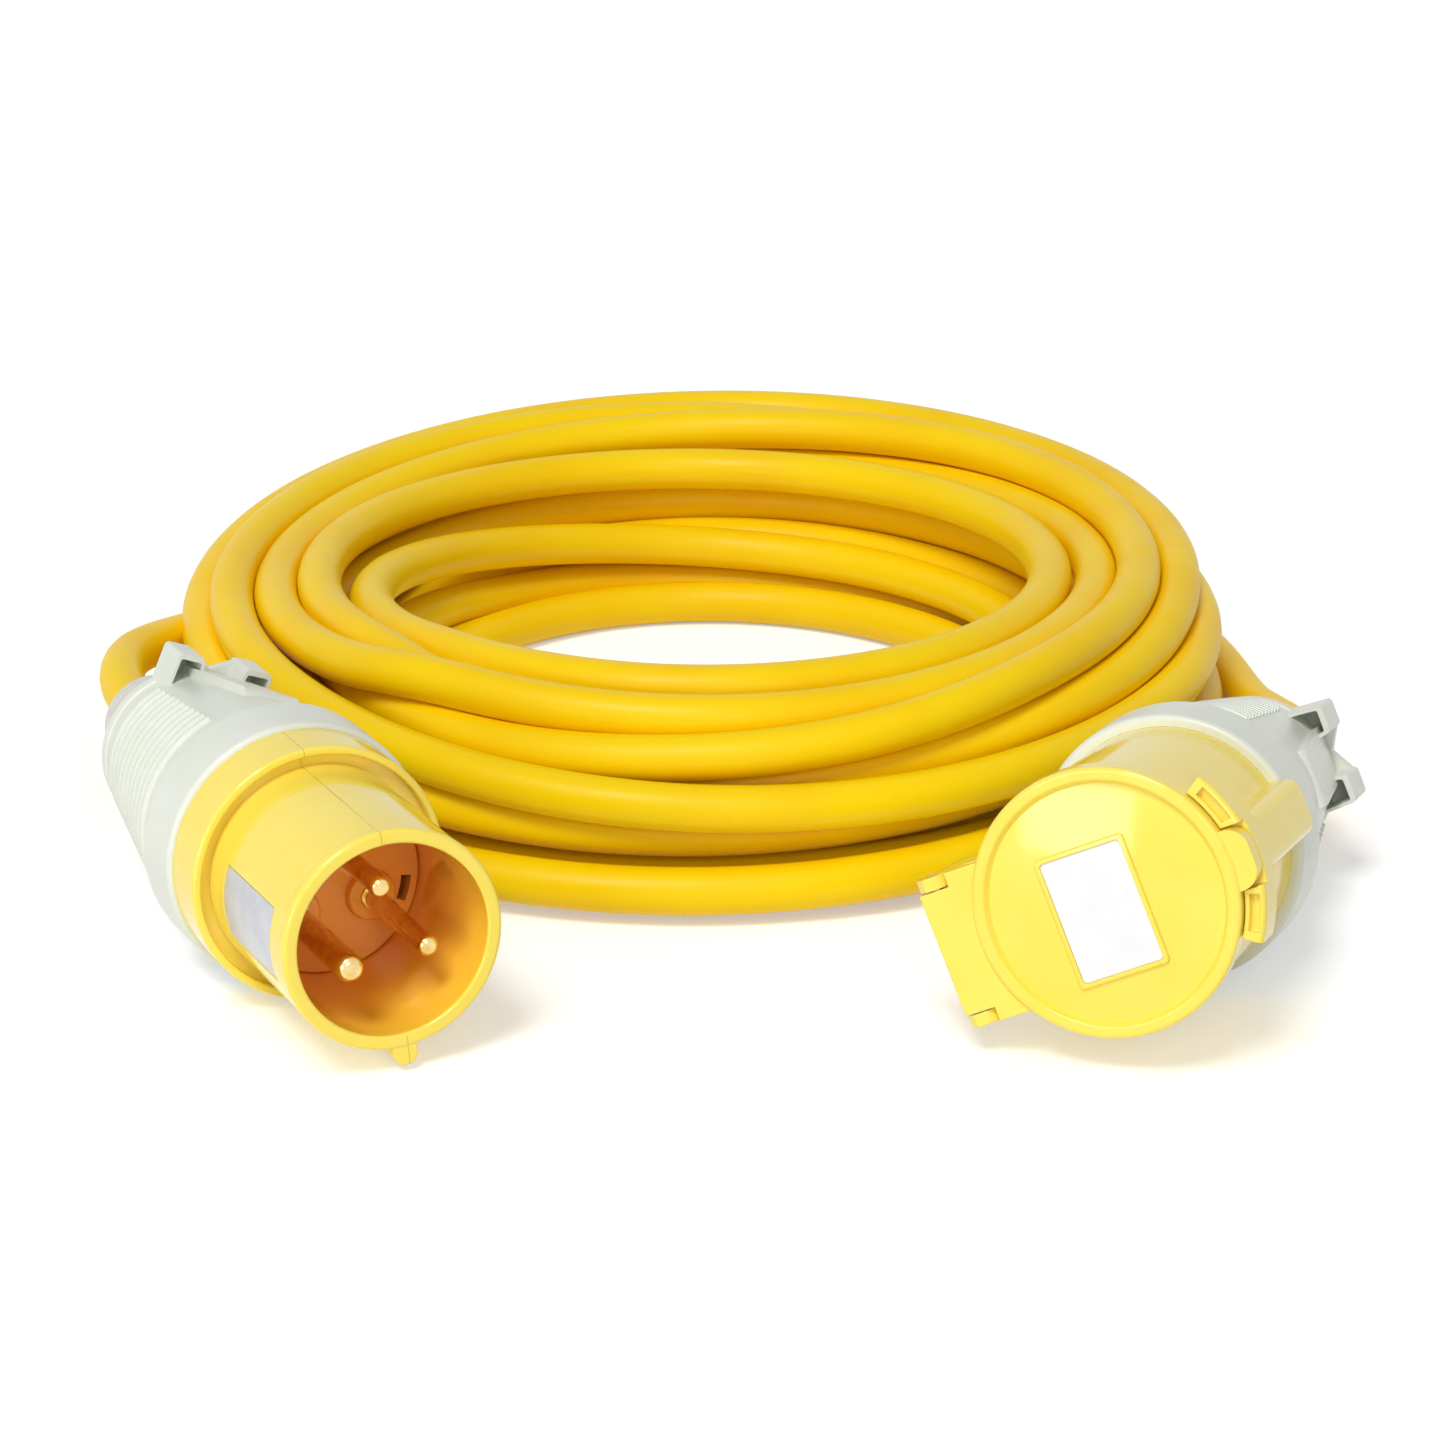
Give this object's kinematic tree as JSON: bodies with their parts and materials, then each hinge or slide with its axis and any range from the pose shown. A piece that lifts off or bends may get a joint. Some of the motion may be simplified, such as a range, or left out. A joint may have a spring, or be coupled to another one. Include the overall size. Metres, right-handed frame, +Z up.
{
  "type": "shore power cord",
  "caption": "Coiled yellow flexible power lead with a round shrouded pin plug at one end and a sprung-lid connector at the other.",
  "frame": {"origin": "on the floor, at the bottom centre of the box round the plug and the connector, without the free cord", "axes": "+Z up, the plug and the connector point towards -Y, +X from the plug to the connector"},
  "size_m": [0.3961, 0.5206, 0.0872],
  "materials": {
    "yellow_plastic": "moulded, half gloss",
    "grey_plastic": "fine moulded texture",
    "white_plastic": "rough moulded",
    "brass": "machined",
    "steel": "zinc plated",
    "rubber": "moulded",
    "cable_sheath": "extruded soft sheath",
    "label_plate": "satin foil, bare",
    "core_green": "extruded",
    "core_brown": "extruded",
    "core_blue": "extruded"
  },
  "bodies": {
    "cord_set": {"connector_body": "yellow_plastic", "connector_clamp_screws": "steel", "connector_contact_carrier": "yellow_plastic", "connector_cord_clamp": "grey_plastic", "connector_earth_contact": "brass", "connector_earth_core": "core_green", "connector_gland_nut": "white_plastic", "connector_gland_seal": "rubber", "connector_hinge_pin": "steel", "connector_joint_seal": "rubber", "connector_lid_spring": "steel", "connector_live_contact": "brass", "connector_live_core": "core_brown", "connector_neutral_contact": "brass", "connector_neutral_core": "core_blue", "connector_rear_housing": "grey_plastic", "connector_sheath_end": "cable_sheath", "connector_tail": "cable_sheath", "connector_terminal_screws": "steel", "cord_coil": "cable_sheath", "plug_clamp_screws": "steel", "plug_cord_clamp": "grey_plastic", "plug_earth_core": "core_green", "plug_earth_pin": "brass", "plug_gland_nut": "white_plastic", "plug_gland_seal": "rubber", "plug_joint_seal": "rubber", "plug_label": "label_plate", "plug_live_core": "core_brown", "plug_live_pin": "brass", "plug_neutral_core": "core_blue", "plug_neutral_pin": "brass", "plug_pin_carrier": "yellow_plastic", "plug_rear_housing": "grey_plastic", "plug_sheath_end": "cable_sheath", "plug_shroud": "yellow_plastic", "plug_tail": "cable_sheath", "plug_terminal_screws": "steel"},
    "lid": {"connector_lid": "yellow_plastic", "connector_lid_seal": "rubber", "connector_label": "label_plate"}
  },
  "joints": [
    {"name": "lid_hinge", "type": "hinge", "parent": "cord_set", "child": "lid", "pos_m": [0.06552, -0.07077, 0.02912], "axis": [0.362, -0.241, -0.9005], "range_deg": [0, 110], "stiffness_Nm_per_rad": 0.08, "springref_deg": -57.3}
  ]
}
